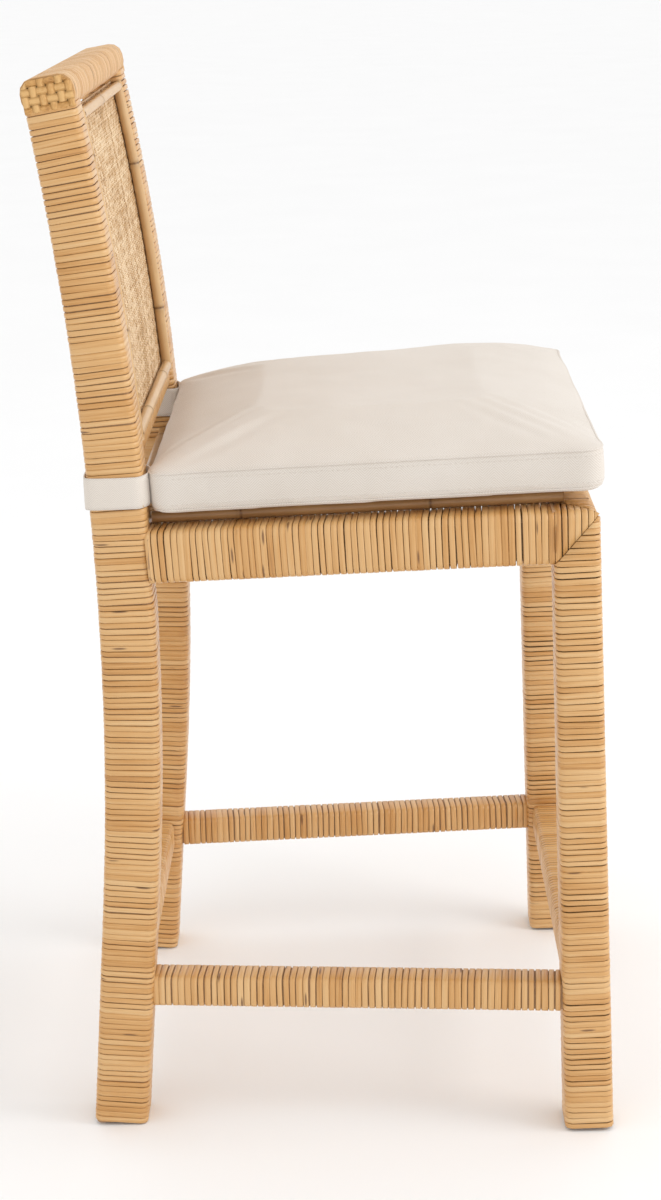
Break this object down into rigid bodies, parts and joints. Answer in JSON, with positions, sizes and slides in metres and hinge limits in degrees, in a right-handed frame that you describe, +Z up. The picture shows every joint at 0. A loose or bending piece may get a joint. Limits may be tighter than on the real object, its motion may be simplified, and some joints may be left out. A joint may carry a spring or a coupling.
{
  "type": "bar stool with footrest",
  "caption": "Rattan-wrapped bar stool with raked back posts, a woven cane back, a front footrest and side stretchers, and a boxed fabric seat cushion strapped to the posts.",
  "frame": {"origin": "on the floor under the middle of the stool", "axes": "+Z up, -Y towards the front that the sitter faces, +X to the sitter's left"},
  "size_m": [0.4844, 0.493, 0.9625],
  "materials": {
    "hardwood": "raw",
    "rattan_peel": "satin natural",
    "plaited_rattan": "satin natural",
    "rattan_pole": "satin natural",
    "woven_cane": "matte natural",
    "cushion_fabric": "herringbone weave",
    "cushion_foam": "foam",
    "hook_and_loop": "matte",
    "zip_tape": "matte",
    "screw_steel": "zinc plated",
    "glide_nylon": "matte"
  },
  "bodies": {
    "frame": {"left_front_leg": "hardwood", "right_front_leg": "hardwood", "left_rear_post": "hardwood", "right_rear_post": "hardwood", "front_apron": "hardwood", "rear_apron": "hardwood", "left_apron": "hardwood", "right_apron": "hardwood", "front_footrest": "hardwood", "rear_stretcher": "hardwood", "left_stretcher": "hardwood", "right_stretcher": "hardwood", "top_rail": "hardwood", "lower_back_rail": "hardwood", "left_front_leg_wrap": "rattan_peel", "right_front_leg_wrap": "rattan_peel", "left_rear_post_wrap": "rattan_peel", "right_rear_post_wrap": "rattan_peel", "front_apron_wrap": "rattan_peel", "rear_apron_wrap": "rattan_peel", "left_apron_wrap": "rattan_peel", "right_apron_wrap": "rattan_peel", "front_footrest_wrap": "rattan_peel", "rear_stretcher_wrap": "rattan_peel", "left_stretcher_wrap": "rattan_peel", "right_stretcher_wrap": "rattan_peel", "top_rail_wrap": "rattan_peel", "lower_back_rail_wrap": "rattan_peel", "left_rail_end_cap": "plaited_rattan", "right_rail_end_cap": "plaited_rattan", "left_back_pole": "rattan_pole", "right_back_pole": "rattan_pole", "top_back_pole": "rattan_pole", "bottom_back_pole": "rattan_pole", "left_seat_pole": "rattan_pole", "right_seat_pole": "rattan_pole", "front_seat_pole": "rattan_pole", "rear_seat_pole": "rattan_pole", "back_panel": "woven_cane", "seat_panel": "woven_cane", "front_left_corner_block": "hardwood", "front_right_corner_block": "hardwood", "rear_left_corner_block": "hardwood", "rear_right_corner_block": "hardwood", "frame_dowels": "hardwood", "corner_block_screws": "screw_steel", "foot_glides": "glide_nylon", "left_cushion_strap": "cushion_fabric", "right_cushion_strap": "cushion_fabric", "strap_closures": "hook_and_loop"},
    "cushion": {"cushion_cover": "cushion_fabric", "cushion_foam": "cushion_foam", "cushion_zip": "zip_tape"}
  },
  "joints": [
    {"name": "cushion_tilt", "type": "hinge", "parent": "frame", "child": "cushion", "pos_m": [0, 0.1568, 0.6267], "axis": [-1, 0, 0], "range_deg": [0, 35]}
  ]
}
